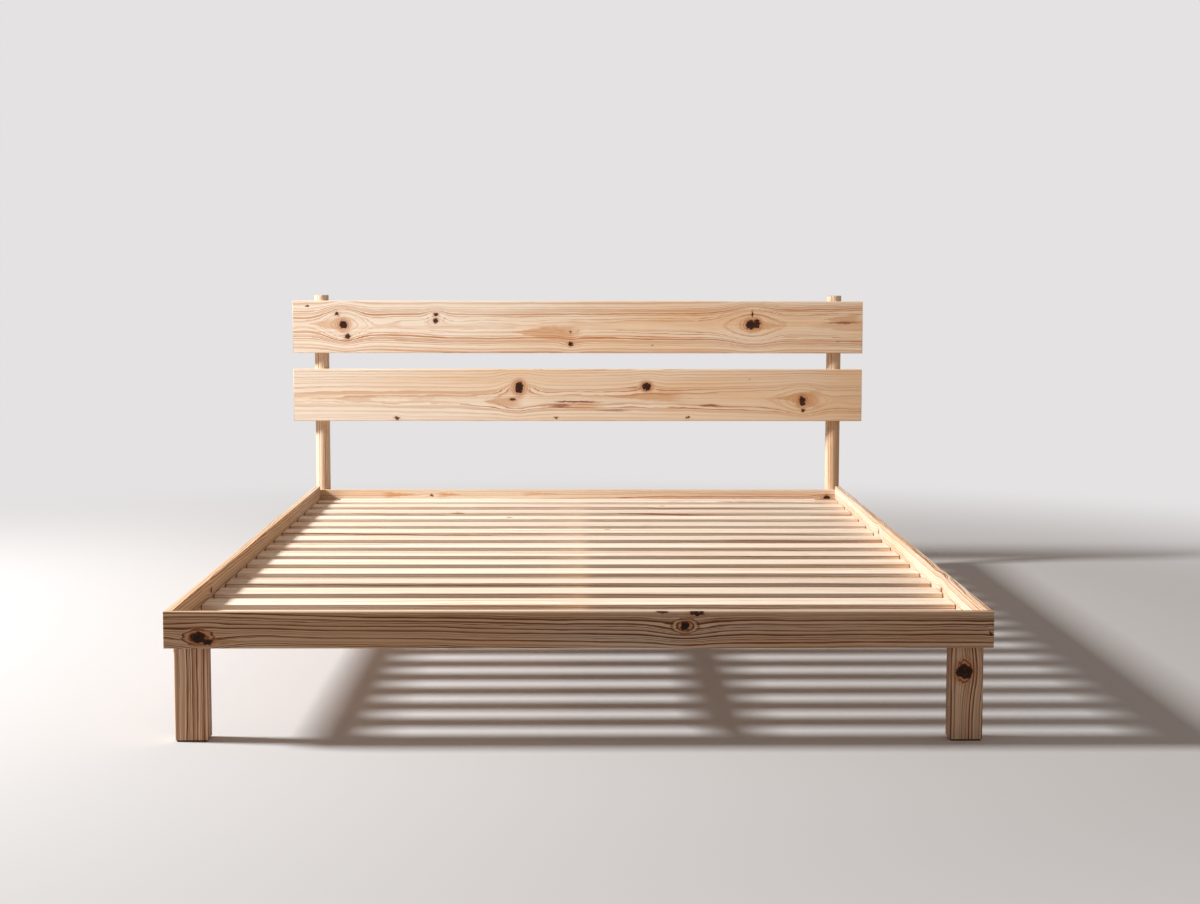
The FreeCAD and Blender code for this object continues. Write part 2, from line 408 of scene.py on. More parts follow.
def zinc_finish():
    """Zinc-plated steel with a faint blue and fine rub marks."""
    material, tree = finish_tree("zinc plate")
    place = tree.node("ShaderNodeTexCoord", output="Object")
    patch = tree.noise(place, 160.0, 3.0)
    rub = tree.noise(place, 2400.0, 2.0)
    colour = tree.blend(paint(176, 178, 180), paint(198, 196, 186), patch * 2.0 + 0.5)
    inputs = {
        "Base Color": colour,
        "Metallic": 1.0,
        "Roughness": 0.36 + patch * 0.2 + rub * 0.12,
        "Normal": tree.bump(rub + patch, 0.00002),
    }
    return surfaced(material, tree, inputs)


def felt_finish():
    """Pressed felt, dark grey-brown, with tangled fibres."""
    material, tree = finish_tree("pressed felt")
    place = tree.node("ShaderNodeTexCoord", output="Object")
    tangle = tree.noise(place, 1900.0, 4.0)
    patch = tree.noise(place, 130.0, 2.0)
    colour = tree.blend(paint(58, 47, 42), paint(92, 78, 68), tangle * 2.4 + patch + 0.5)
    inputs = {
        "Base Color": colour,
        "Roughness": 0.95 + patch * 0.05,
        "Sheen Weight": 0.25,
        "Normal": tree.bump(tangle, 0.0003),
    }
    return surfaced(material, tree, inputs)


zinc = zinc_finish()
felt = felt_finish()


# measures of the screws and their seats, and of meshes

SIDES = {"left": -1, "right": 1}
SLATS = ["slat_%02d" % number for number in range(1, 17)]
SCREW_HEAD = 4 * MM
SCREW_CORE = 2 * MM
SCREW_RISE = 3 * MM
SCREW_PITCH = 1.8 * MM
SLAT_SCREW_LENGTH = 26 * MM
LEDGER_SCREW_LENGTH = 40 * MM
BEAM_SCREW_LENGTH = 26 * MM
BRACKET_SCREW_LENGTH = 11 * MM
PLANK_SCREW_LENGTH = 47 * MM
BRACKET_THICKNESS = 2 * MM
PLANK_SCREW_RECESS = 5 * MM
PLANK_SCREW_EDGE = 30 * MM
NOTCH_ROOM = 1.5 * MM
BEAM_SCREW_STEP = 11 * MM
BEAM_SCREW_DROP = 15 * MM
SEAT_ROOM = 0.15 * MM
SEAT_SIDES = 32
CREASE = math.radians(35)
SAME_POINT = 0.002 * MM
SAME_LEVEL = 0.01 * MM


def centre(node):
    low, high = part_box(node)
    return (low + high) / 2


# places of the screws that the solids leave out: head middle and direction

def slat_screw_places(side):
    """One screw under each slat, from the ledger's underside; beside the leg on an end slat."""
    ledger = centre("ledger_" + side)
    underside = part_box("ledger_" + side)[0].z
    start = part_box("leg_front_" + side)[1].y + NOTCH_ROOM
    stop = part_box("leg_rear_" + side)[0].y - NOTCH_ROOM
    places = []
    for node in SLATS:
        low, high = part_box(node)
        y = (max(low.y, start) + min(high.y, stop)) / 2
        places.append((Vector((ledger.x, y, underside)), Vector((0, 0, 1))))
    return places


def ledger_screw_places(side):
    """Screws from the ledger's inner face into the side rail, in every other gap between slats."""
    low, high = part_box("ledger_" + side)
    x = high.x if side == "left" else low.x
    places = []
    for before, after in zip(SLATS[0::2], SLATS[1::2]):
        y = (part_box(before)[1].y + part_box(after)[0].y) / 2
        places.append((Vector((x, y, centre("ledger_" + side).z)), Vector((SIDES[side], 0, 0))))
    return places


def beam_screw_places():
    """Two screws through each cheek of the bridle."""
    low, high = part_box("centre_leg")
    y = (low.y + high.y) / 2
    z = high.z - BEAM_SCREW_DROP
    steps = (-BEAM_SCREW_STEP, BEAM_SCREW_STEP)
    left = [(Vector((low.x, y + step, z)), Vector((1, 0, 0))) for step in steps]
    return left + [(Vector((high.x, y + step, z)), Vector((-1, 0, 0))) for step in steps]


def bracket_screw_places():
    """One screw through each flange of each bracket."""
    places = []
    for points in islands("beam_brackets"):
        low, high = corners(points)
        z = (low.z + high.z) / 2
        right = 1 if low.x + high.x > 0 else -1
        rear = 1 if low.y + high.y > 0 else -1
        beam_x, rail_y = (low.x if right > 0 else high.x), (high.y if rear > 0 else low.y)
        reach = (high.x - low.x + BRACKET_THICKNESS) / 2
        on_rail = Vector((beam_x + right * reach, rail_y - rear * BRACKET_THICKNESS, z))
        on_beam = Vector((beam_x + right * BRACKET_THICKNESS, rail_y - rear * reach, z))
        places += [(on_rail, Vector((0, rear, 0))), (on_beam, Vector((-right, 0, 0)))]
    return places


def plank_screw_places(side):
    """Screws in the back of a post, two into each plank."""
    post = centre("headboard_post_" + side)
    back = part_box("headboard_post_" + side)[1].y
    places = []
    for level in ("lower", "upper"):
        low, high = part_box("headboard_plank_" + level)
        for z in (low.z + PLANK_SCREW_EDGE, high.z - PLANK_SCREW_EDGE):
            places.append((Vector((post.x, back, z)), Vector((0, -1, 0))))
    return places


# smooth copies of the solids

def corners(points):
    """Lowest and highest corner of a set of points."""
    low = Vector([min(point[i] for point in points) for i in range(3)])
    high = Vector([max(point[i] for point in points) for i in range(3)])
    return low, high


def shown(piece, slot, *nodes):
    """Piece that rides on the bed and stands for CAD nodes."""
    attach(piece, "root")
    if nodes:
        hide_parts(*nodes)
    return piece


def merged(node):
    """Mesh of a CAD node with its doubles merged."""
    shape = bmesh.new()
    shape.from_mesh(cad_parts[node].data)
    bmesh.ops.remove_doubles(shape, verts=shape.verts, dist=SAME_POINT)
    return shape


def islands(node):
    """Points of each separate solid in a CAD node."""
    shape = merged(node)
    seen = set()
    found = []
    for first in shape.verts:
        if first in seen:
            continue
        seen.add(first)
        front = [first]
        members = []
        while front:
            vertex = front.pop()
            members.append(vertex.co.copy())
            for edge in vertex.link_edges:
                other = edge.other_vert(vertex)
                if other not in seen:
                    seen.add(other)
                    front.append(other)
        found.append(members)
    shape.free()
    return found


def added(name, data):
    """New object with a mesh, lamp or camera, at the origin."""
    piece = bpy.data.objects.new(name, data)
    scene.collection.objects.link(piece)
    return piece


def drilled(piece, seats):
    """Cuts the seats of screws, given as rows of places, mouth radius, bottom radius and depth."""
    drills = bmesh.new()
    for places, mouth, bottom, depth in seats:
        for start, direction in places:
            turn = direction.to_track_quat("Z", "Y").to_matrix().to_4x4()
            spot = Matrix.Translation(start + direction * (depth / 2 - SEAT_ROOM)) @ turn
            bmesh.ops.create_cone(
                drills, cap_ends=True, segments=SEAT_SIDES, radius1=mouth + SEAT_ROOM,
                radius2=bottom + SEAT_ROOM, depth=depth + 2 * SEAT_ROOM, matrix=spot)
    mesh = bpy.data.meshes.new("drills")
    drills.to_mesh(mesh)
    drills.free()
    tool = added("drills", mesh)
    cut = piece.modifiers.new("seats", "BOOLEAN")
    cut.operation = "DIFFERENCE"
    cut.solver = "EXACT"
    cut.object = tool
    graph = bpy.context.evaluated_depsgraph_get()
    result = bpy.data.meshes.new_from_object(piece.evaluated_get(graph))
    piece.modifiers.remove(cut)
    piece.data = result
    bpy.data.objects.remove(tool)


def smooth_copy(node, material, slot, seats=()):
    """Smoothly shaded copy of a CAD node."""
    shape = merged(node)
    mesh = bpy.data.meshes.new(node + "_piece")
    shape.to_mesh(mesh)
    shape.free()
    mesh.materials.append(material)
    piece = added(node + "_piece", mesh)
    if seats:
        drilled(piece, seats)
    piece.data.shade_smooth()
    piece.data.set_sharp_from_angle(angle=CREASE)
    weighted = piece.modifiers.new("even normals", "WEIGHTED_NORMAL")
    weighted.keep_sharp = True
    return shown(piece, slot, node)


# marks of the boards, as the photograph shows them

UPPER_KNOTS = (
    Knot(-627, 6, 11, 11, 46, 36, 22, 1.0),
    Knot(-643, 35, 6, 5, 20, 14, 0, 0.8),
    Knot(-616, -26, 8, 7, 22, 16, 0, 0.8),
    Knot(-380, 33, 6, 5, 26, 15, 3, 0.8),
    Knot(-380, 17, 6, 6, 26, 15, 3, 0.8),
    Knot(-21, -13, 3, 3, 24, 16, 4, 0.6),
    Knot(-20, -45, 7, 6, 30, 16, 3, 0.8),
    Knot(462, 7, 13, 12, 62, 34, 18, 1.0),
    Knot(478, 10, 9, 13, 50, 32, 0, 0.9),
    Knot(466, 35, 3, 8, 18, 12, 0, 0.7),
    Knot(-722, 56, 6, 2, 14, 8, 0, 0.4),
)
UPPER_RESIN = (
    Streak(706, 13, 58, 5, 0.75),
    Streak(199, -48, 4, 5, 0.5),
    Streak(695, -37, 9, 3, 0.5),
)
UPPER_FLAMES = (
    Streak(-88, -14, -95, 34, 0.8),
    Streak(-678, 8, -44, 22, 0.6),
    Streak(706, 22, -52, 16, 0.8),
    Streak(500, 4, 46, 24, 0.7),
)
LOWER_KNOTS = (
    Knot(-158, 20, 11, 16, 50, 36, 12, 1.0),
    Knot(-176, -12, 9, 3, 30, 22, 0, 0.6),
    Knot(184, 23, 12, 11, 36, 24, 6, 1.0),
    Knot(602, -16, 9, 14, 46, 30, 20, 0.9),
    Knot(604, -41, 5, 5, 16, 12, 0, 0.7),
    Knot(-486, -62, 7, 4, 18, 10, 2, 0.5),
    Knot(-58, -61, 5, 3, 14, 8, 0, 0.4),
    Knot(296, -60, 6, 4, 16, 9, 0, 0.3),
)
LOWER_RESIN = (
    Streak(-8, -18, 86, 3.5, 0.95),
    Streak(-48, -28, 36, 8, 0.7),
    Streak(88, -41, 62, 5, 0.5),
    Streak(352, -27, 38, 4, 0.8),
    Streak(460, 43, 5, 3, 0.4),
    Streak(150, 20, 36, 3, 0.5),
)
LOWER_FLAMES = (
    Streak(180, -4, -110, 24, 0.7),
    Streak(590, -8, -62, 30, 0.9),
    Streak(-205, -18, -54, 26, 0.7),
    Streak(-20, -30, -90, 16, 0.6),
)
FOOT_KNOTS = (
    Knot(-649, -12, 13, 10, 56, 24, 6, 1.0),
    Knot(-633, -20, 9, 5, 24, 14, 0, 0.9),
    Knot(180, 7, 8, 8, 46, 22, 7, 1.0),
    Knot(200, 29, 13, 4, 30, 12, 0, 0.8),
    Knot(140, 32, 10, 3, 26, 10, 0, 0.6),
    Knot(703, -5, 2, 4, 10, 8, 0, 0.5),
)
FOOT_FLAMES = (Streak(-610, -19, 44, 9, 0.9),)

upper_middle = centre("headboard_plank_upper")
lower_middle = centre("headboard_plank_lower")
foot_middle = centre("foot_rail")
head_middle = centre("head_rail")
strong = {"contrast": 2.0, "latewood": LATEWOOD_DARK}

# the planks' ground grows warmer and darker towards their right ends (warmth's second number):
# partly painted shade for the lamp's falloff, partly the boards' own colour
upper_pine = pine(
    "pine upper plank", ALONG_X, upper_middle, (4, 58), 5.6, 3.1,
    UPPER_KNOTS, UPPER_RESIN, UPPER_FLAMES,
    tone=1.10, contrast=0.88, latewood=LATEWOOD_PALE, warmth=(0.34, 0.5))
lower_pine = pine(
    "pine lower plank", ALONG_X, lower_middle, (-14, 50), 5.4, 11.7,
    LOWER_KNOTS, LOWER_RESIN, LOWER_FLAMES,
    tone=1.06, contrast=1.1, latewood=LATEWOOD_PALE, warmth=(0.5, 0.8))
# the foot rail's low tone (0.81) is painted shade: it darkens the whole rail towards the shade on
# its front face
foot_pine = pine(
    "pine foot rail", ALONG_X, foot_middle, (75, 58), 5.6, 21.4, FOOT_KNOTS, (), FOOT_FLAMES,
    tone=0.81, warmth=(0.95, -0.3), **strong)
head_pine = pine(
    "pine head rail", ALONG_X, head_middle, (-42, -40), 4.4, 27.9,
    (Knot(672, 4, 9, 8, 34, 20, 6, 0.9), Knot(-395, 12, 4, 3, 40, 16, 5, 0.3)), (),
    (Streak(-480, 14, 46, 10, 0.9), Streak(-344, 14, 34, 9, 0.8), Streak(-90, 16, 60, 7, 0.6)))
smooth_copy("headboard_plank_upper", upper_pine, "pine_plank")
smooth_copy("headboard_plank_lower", lower_pine, "pine_plank")
smooth_copy("foot_rail", foot_pine, "pine_rail")
smooth_copy("head_rail", head_pine, "pine_rail")

# pith, seed, tone, warmth and knots
side_marks = {
    # the left rail's redder ground (0.95 against 0.38) is partly painted warm shade for its shaded
    # inner face, partly the board's own orange tint
    "left": (
        (60, 44), 33.3, 0.97, 0.95,
        (Knot(-610, 9, 8, 6, 40, 20, 5, 0.8), Knot(310, -8, 6, 5, 30, 16, 4, 0.7))),
    "right": (
        (-56, -38), 39.8, 0.97, 0.38,
        (Knot(-568, 0, 7, 6, 42, 20, 6, 0.55), Knot(204, 10, 6, 5, 32, 16, 4, 0.7))),
}
for side, (pith, seed, tone, warm, knots) in side_marks.items():
    node = "side_rail_" + side
    material = pine(
        "pine side rail " + side, ALONG_Y, centre(node), pith, 5.2, seed, knots,
        tone=tone, contrast=1.15, warmth=(warm, 0.0))
    smooth_copy(node, material, "pine_rail")

# pith, seed, tone and knots
leg_marks = {
    # the front legs' tones (1.06 left, 0.84 right) are partly painted light and shade, for the lit
    # left leg and the shaded right one, and partly the boards' own difference
    "leg_front_left": ((-72, 60), 45.2, 1.06, ()),
    "leg_front_right": ((-66, -60), 51.6, 0.84, (Knot(23, -5, 13, 15, 42, 24, 7, 1.0),)),
    "leg_rear_left": ((68, 54), 57.3, 0.9, ()),
    "leg_rear_right": ((60, -64), 63.1, 0.9, (Knot(-30, 8, 6, 7, 30, 16, 4, 0.8),)),
    "centre_leg": ((-60, -50), 69.5, 0.9, ()),
}
for node, (pith, seed, tone, knots) in leg_marks.items():
    material = pine(
        "pine " + node.replace("_", " "), ALONG_Z, centre(node), pith, 5.2, seed, knots,
        tone=tone, warmth=(0.75, 0.0), **strong)
    seats = ()
    if node == "centre_leg":
        seats = [(beam_screw_places(), SCREW_HEAD, SCREW_CORE, SCREW_RISE)]
    smooth_copy(node, material, "pine_leg", seats)

for side, seed in (("left", 75.4), ("right", 81.9)):
    node = "headboard_post_" + side
    material = pine(
        "pine post " + side, ALONG_Z, centre(node), (30, 12), 3.6, seed,
        tone=1.02, warmth=(0.7, 0.0))
    seats = [(plank_screw_places(side), SCREW_HEAD, SCREW_HEAD, PLANK_SCREW_RECESS)]
    smooth_copy(node, material, "pine_post", seats)
    node = "ledger_" + side
    material = pine(
        "pine ledger " + side, ALONG_Y, centre(node), (10, 30), 4.2, seed + 7.7, tone=0.95)
    places = slat_screw_places(side) + ledger_screw_places(side)
    smooth_copy(node, material, "pine_inner", [(places, SCREW_HEAD, SCREW_CORE, SCREW_RISE)])
beam_pine = pine(
    "pine centre beam", ALONG_Y, centre("centre_beam"), (-20, 30), 4.4, 93.6, tone=0.95)
smooth_copy("centre_beam", beam_pine, "pine_inner")
smooth_copy(
    "beam_brackets", zinc, "zinc_steel",
    [(bracket_screw_places(), SCREW_HEAD, SCREW_CORE, BRACKET_THICKNESS)])


# geometry trees

SOCKETS = {
    float: "NodeSocketFloat",
    int: "NodeSocketInt",
    Vector: "NodeSocketVector",
    str: "NodeSocketMaterial",
}
MERGE = 0.01 * MM


class Shapes(Tree):
    """A geometry tree with named inputs."""

    def __init__(self, name, **kinds):
        super().__init__(bpy.data.node_groups.new(name, "GeometryNodeTree"))
        sockets = self.tree.interface
        for way in ("OUTPUT", "INPUT"):
            sockets.new_socket("Geometry", in_out=way, socket_type="NodeSocketGeometry")
        for label, kind in kinds.items():
            sockets.new_socket(label, in_out="INPUT", socket_type=SOCKETS[kind])
        self.group = self.node("NodeGroupInput")

    def given(self, label):
        return self.group.output(label)

    def join(self, *shapes):
        return self.node("GeometryNodeJoinGeometry", inputs={"Geometry": list(shapes)})

    def moved(self, shape, offset, turn=(0, 0, 0)):
        inputs = {"Geometry": shape, "Translation": offset, "Rotation": turn}
        return self.node("GeometryNodeTransform", inputs=inputs)

    def rod(self, sides, radius, depth, start=0.0, top=None):
        """Rod along Z from start, tapered where a radius is given for its top."""
        inputs = {
            "Vertices": sides,
            "Radius Bottom": radius,
            "Radius Top": radius if top is None else top,
            "Depth": depth,
        }
        cone = self.node("GeometryNodeMeshCone", inputs=inputs)
        return self.moved(cone, self.vector(0, 0, start))

    def rounded(self, width, height, radius, steps):
        """Outline of a rectangle with rounded corners."""
        outline = self.node(
            "GeometryNodeCurvePrimitiveQuadrilateral", {"mode": "RECTANGLE"},
            {"Width": width, "Height": height})
        inputs = {"Curve": outline, "Radius": radius, "Count": steps}
        return self.node("GeometryNodeFilletCurve", {"mode": "POLY"}, inputs)

    def swept(self, path, profile):
        """Closed solid of a profile along a path."""
        inputs = {"Curve": path, "Profile Curve": profile, "Fill Caps": True}
        return self.node("GeometryNodeCurveToMesh", inputs=inputs)

    def less(self, shape, *tools):
        """Shape with tools cut out of it."""
        settings = {"operation": "DIFFERENCE", "solver": "EXACT"}
        return self.node("GeometryNodeMeshBoolean", settings, {0: shape, 1: list(tools)})

    def united(self, *shapes):
        """Shapes that touch, made one closed solid."""
        settings = {"operation": "UNION", "solver": "EXACT"}
        return self.node("GeometryNodeMeshBoolean", settings, {1: list(shapes)})

    def thread(self, radius, pitch, start, length, sides, depth):
        """Screw thread: a three-sided ridge wound round the core."""
        inputs = {
            "Resolution": sides,
            "Rotations": length / pitch,
            "Start Radius": radius,
            "End Radius": radius,
            "Height": length,
        }
        spiral = self.node("GeometryNodeCurveSpiral", inputs=inputs)
        inputs = {"Resolution": 3, "Radius": depth}
        ridge = self.node("GeometryNodeCurvePrimitiveCircle", {"mode": "RADIUS"}, inputs)
        return self.moved(self.swept(spiral, ridge), self.vector(0, 0, start))

    def at_points(self, shape):
        """Shape on every point of the given mesh, its Z turned to the point's own direction."""
        settings = {"data_type": "FLOAT_VECTOR"}
        direction = self.node("GeometryNodeInputNamedAttribute", settings, {"Name": "direction"})
        turn = self.node("FunctionNodeAlignRotationToVector", {"axis": "Z"}, {"Vector": direction})
        inputs = {"Points": self.given("Geometry"), "Instance": shape, "Rotation": turn}
        return self.node("GeometryNodeInstanceOnPoints", inputs=inputs)

    def close(self, shape):
        """Plain mesh in the given material as the tree's result."""
        real = self.node("GeometryNodeRealizeInstances", inputs={"Geometry": shape})
        inputs = {"Geometry": real, "Material": self.given("Finish")}
        done = self.node("GeometryNodeSetMaterial", inputs=inputs)
        self.node("NodeGroupOutput", inputs={0: done})
        return self.tree


def point_mesh(name, places):
    """Mesh of loose points, each with a direction."""
    mesh = bpy.data.meshes.new(name)
    mesh.from_pydata([point for point, _ in places], [], [])
    layer = mesh.attributes.new("direction", "FLOAT_VECTOR", "POINT")
    for item, (_, direction) in zip(layer.data, places):
        item.vector = direction
    return mesh


def grown(name, tree, places, slot, nodes, **inputs):
    """Piece that a geometry tree makes on a set of places."""
    holder = added(name + "_places", point_mesh(name + "_places", places))
    modifier = holder.modifiers.new("shapes", "NODES")
    modifier.node_group = tree
    for item in tree.interface.items_tree:
        if item.in_out == "INPUT" and item.name in inputs:
            modifier[item.identifier] = inputs[item.name]
    graph = bpy.context.evaluated_depsgraph_get()
    mesh = bpy.data.meshes.new_from_object(holder.evaluated_get(graph))
    mesh.name = name
    bpy.data.objects.remove(holder)
    mesh.shade_smooth()
    mesh.set_sharp_from_angle(angle=CREASE)
    return shown(added(name, mesh), slot, *nodes)


# slats

def slat_tree():
    """Row of boards along Y, rounded along their upper edges."""
    tree = Shapes(
        "slat row", Length=float, Width=float, Thickness=float, Edge=float, Pitch=float, Count=int,
        First=Vector, Finish=str)
    above = tree.split(tree.node("GeometryNodeInputPosition")).output(1)
    edge = above.maths("GREATER_THAN", above, 0.0) * tree.given("Edge")
    profile = tree.rounded(tree.given("Width"), tree.given("Thickness"), edge, 7)
    half = tree.given("Length") / 2
    line = tree.node(
        "GeometryNodeCurvePrimitiveLine", {"mode": "POINTS"},
        {"Start": tree.vector(-half, 0, 0), "End": tree.vector(half, 0, 0)})
    row = tree.node(
        "GeometryNodeMeshLine", {"mode": "OFFSET"},
        {"Count": tree.given("Count"), "Start Location": tree.given("First"),
         "Offset": tree.vector(0, tree.given("Pitch"), 0)})
    inputs = {"Points": row, "Instance": tree.swept(line, profile)}
    return tree.close(tree.node("GeometryNodeInstanceOnPoints", inputs=inputs))


first_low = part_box(SLATS[0])[0]
second_low, second_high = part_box(SLATS[1])
slat_pitch = second_low.y - first_low.y
slat_size = second_high - second_low
second_middle = (second_low + second_high) / 2
slat_pine = pine(
    "pine slats", ALONG_X_FLAT, second_middle, (0, 0), 4.8, 101.3, tone=1.09, warmth=(-0.05, 0.0),
    row=(first_low.y - (slat_pitch - slat_size.y) / 2, slat_pitch))
grown(
    "slats_middle", slat_tree(), [(Vector(), Vector((0, 0, 1)))], "pine_slat", SLATS[1:-1],
    Length=slat_size.x, Width=slat_size.y, Thickness=slat_size.z, Edge=2 * MM, Pitch=slat_pitch,
    Count=len(SLATS) - 2, First=second_middle, Finish=slat_pine)
smooth_copy(SLATS[0], slat_pine, "pine_slat")
smooth_copy(SLATS[-1], slat_pine, "pine_slat")


# fasteners

def turned_places(node):
    """Middle of the head and direction of each turned solid in a CAD node."""
    places = []
    for points in islands(node):
        low, high = corners(points)
        size = high - low
        middle = (low + high) / 2
        axis = max(range(3), key=lambda i: -abs(size[i - 1] - size[i - 2]))
        across = [i for i in range(3) if i != axis]

        def spread(level):
            ring = [point - middle for point in points if abs(point[axis] - level) < SAME_LEVEL]
            return max(point[i] for point in ring for i in across)

        head_low = spread(low[axis]) >= spread(high[axis])
        direction = Vector([0, 0, 0])
        direction[axis] = 1 if head_low else -1
        start = middle.copy()
        start[axis] = low[axis] if head_low else high[axis]
        places.append((start, direction))
    return sorted(places, key=lambda place: tuple(place[0]))


def cross_tool(tree, reach, width, depth):
    """Tapered cross that cuts the drive of a screw head."""
    sizes = [tree.vector(x * 2, y * 2, depth * 2) for x, y in ((reach, width), (width, reach))]
    arms = [tree.node("GeometryNodeMeshCube", inputs={"Size": size}) for size in sizes]
    return arms + [tree.rod(8, reach * 0.62, depth * 1.35, -0.1 * MM, width * 0.6)]


FASTENER = ("Head", "Rise", "Core", "Length", "Pitch")


def fastener_tree(name):
    """Tree of a fastener, and its radii at the head and core, head height, length and pitch."""
    tree = Shapes(name, **dict.fromkeys(FASTENER, float), Finish=str)
    return tree, [tree.given(label) for label in FASTENER]


def wood_screw_tree(name, pan):
    """Wood screw with a cross drive; countersunk, or with a pan head."""
    tree, (head, rise, core, length, pitch) = fastener_tree(name)
    if pan:
        crown = tree.rod(20, head * 0.72, rise * 0.4, 0.0, head)
        skirt = tree.rod(20, head, rise * 0.6, rise * 0.4)
        top = tree.united(crown, skirt)
    else:
        top = tree.rod(20, head, rise, 0.0, core)
    driven = tree.less(top, *cross_tool(tree, head * 0.6, head * 0.13, rise * 0.5))
    tip = core * 2.2
    body = length - rise - tip
    shank = tree.rod(10, core * 0.72, body, rise)
    point = tree.rod(10, core * 0.72, tip, rise + body, 0.0)
    ridge = tree.thread(core * 0.74, pitch, rise + body * 0.3, body * 0.7, 9, core * 0.22)
    return tree.close(tree.at_points(tree.join(driven, tree.united(shank, point), ridge)))


def bolt_tree():
    """Socket-head bolt with a hexagon drive and a thread at its end."""
    tree, (head, rise, core, length, pitch) = fastener_tree("socket bolt")
    rim = head * 0.1
    crown = tree.rod(32, head - rim, rim, 0.0, head)
    barrel = tree.rod(32, head, rise - rim, rim)
    blank = tree.united(crown, barrel)
    socket = tree.rod(6, head * 0.52, rise * 0.75, rise * -0.15)
    shank = tree.rod(20, core * 0.88, length - rise, rise)
    ridge = tree.thread(core * 0.86, pitch, length * 0.6, length * 0.38, 14, core * 0.12)
    return tree.close(tree.at_points(tree.join(tree.less(blank, socket), shank, ridge)))


def fastened(node, tree, **sizes):
    """Detailed bolts in place of a CAD node's plain ones."""
    grown(node + "_detail", tree, turned_places(node), "zinc_steel", [node], Finish=zinc, **sizes)


countersunk = wood_screw_tree("countersunk screw", False)
pan_head = wood_screw_tree("pan-head screw", True)
socket_bolt = bolt_tree()
wood_screw = {"Head": SCREW_HEAD, "Core": SCREW_CORE, "Pitch": SCREW_PITCH, "Finish": zinc}
slat_places, ledger_places = (
    [place for side in SIDES for place in find(side)]
    for find in (slat_screw_places, ledger_screw_places))
sunk_screws = {
    "slat_screws": (slat_places, SCREW_RISE, SLAT_SCREW_LENGTH),
    "ledger_screws": (ledger_places, SCREW_RISE, LEDGER_SCREW_LENGTH),
    "beam_screws": (beam_screw_places(), SCREW_RISE, BEAM_SCREW_LENGTH),
    "bracket_screws": (bracket_screw_places(), BRACKET_THICKNESS, BRACKET_SCREW_LENGTH),
}
for name, (places, rise, length) in sunk_screws.items():
    grown(name, countersunk, places, "zinc_steel", (), Rise=rise, Length=length, **wood_screw)
seated = PLANK_SCREW_RECESS - SCREW_RISE
places = [
    (start + direction * seated, direction)
    for side in SIDES for start, direction in plank_screw_places(side)]
grown(
    "plank_screws", pan_head, places, "zinc_steel", (),
    Rise=SCREW_RISE, Length=PLANK_SCREW_LENGTH, **wood_screw)
leg_bolt = {"Head": 5 * MM, "Rise": 5 * MM, "Core": 3 * MM, "Pitch": 1 * MM}
post_bolt = {"Head": 6.5 * MM, "Rise": 8 * MM, "Core": 4 * MM, "Pitch": 1.25 * MM}
fastened("leg_bolts_side", socket_bolt, Length=64.5 * MM, **leg_bolt)
fastened("leg_bolts_end", socket_bolt, Length=50.5 * MM, **leg_bolt)
fastened("post_bolts", socket_bolt, Length=44 * MM, **post_bolt)


# felt pads

def pad_tree():
    """Pad with rounded corners on every point."""
    tree = Shapes("felt pad", Width=float, Depth=float, Thickness=float, Corner=float, Finish=str)
    outline = tree.rounded(tree.given("Width"), tree.given("Depth"), tree.given("Corner"), 6)
    face = tree.node("GeometryNodeFillCurve", {"mode": "NGONS"}, {"Curve": outline})
    raised = tree.node(
        "GeometryNodeExtrudeMesh", {"mode": "FACES"},
        {"Mesh": face, "Offset": tree.vector(0, 0, 1), "Offset Scale": tree.given("Thickness")})
    under = tree.node("GeometryNodeFlipFaces", inputs={"Mesh": face})
    inputs = {"Geometry": tree.join(raised, under), "Distance": MERGE}
    return tree.close(tree.at_points(tree.node("GeometryNodeMergeByDistance", inputs=inputs)))


pads = []
for points in islands("leg_pads"):
    low, high = corners(points)
    pads.append((Vector(((low.x + high.x) / 2, (low.y + high.y) / 2, low.z)), Vector((0, 0, 1))))
pads.sort(key=lambda place: tuple(place[0]))
pad_size = high - low
grown(
    "leg_pads_felt", pad_tree(), pads, "felt", ["leg_pads"],
    Width=pad_size.x, Depth=pad_size.y, Thickness=pad_size.z, Corner=2.5 * MM, Finish=felt)


# floor, light and camera

BACKDROP = paint(228, 226, 226)
FLOOR_SEEN = paint(200, 200, 201)
FLOOR_BOUNCE = paint(181, 165, 156)
FLOOR_RADIUS = 30.0
FLOOR_FADE = (1.5, 3.4)  # metres from the middle where the floor turns into the backdrop
FAR_GLOW = 0.3  # what the far floor gives as light
ROOM_LIGHT = (1.0, 0.82, 0.71, 1.0)
ROOM_STRENGTH = 0.315
LAMP_PLACE = Vector((-5.2, -0.5, 3.3))
LAMP_AIM = Vector((0.3, 0.1, 0.25))
LAMP_COLOUR = (1.0, 0.995, 0.985)
LAMP_SIDE = 0.85
LAMP_POWER = 635
CAMERA_PLACE = Vector((-0.0078, -4.24775, 0.805))
CAMERA_ANGLES = (0.736, 5.329, 0.092)  # yaw, pitch and roll in degrees
CAMERA_LENS = 58.083


def seen_directly(tree):
    """1 where the camera sees a surface, itself or in gloss or glass."""
    path = tree.node("ShaderNodeLightPath")
    gloss, glass = path.output("Is Glossy Ray"), path.output("Is Transmission Ray")
    return path.output("Is Camera Ray").most(gloss).most(glass)


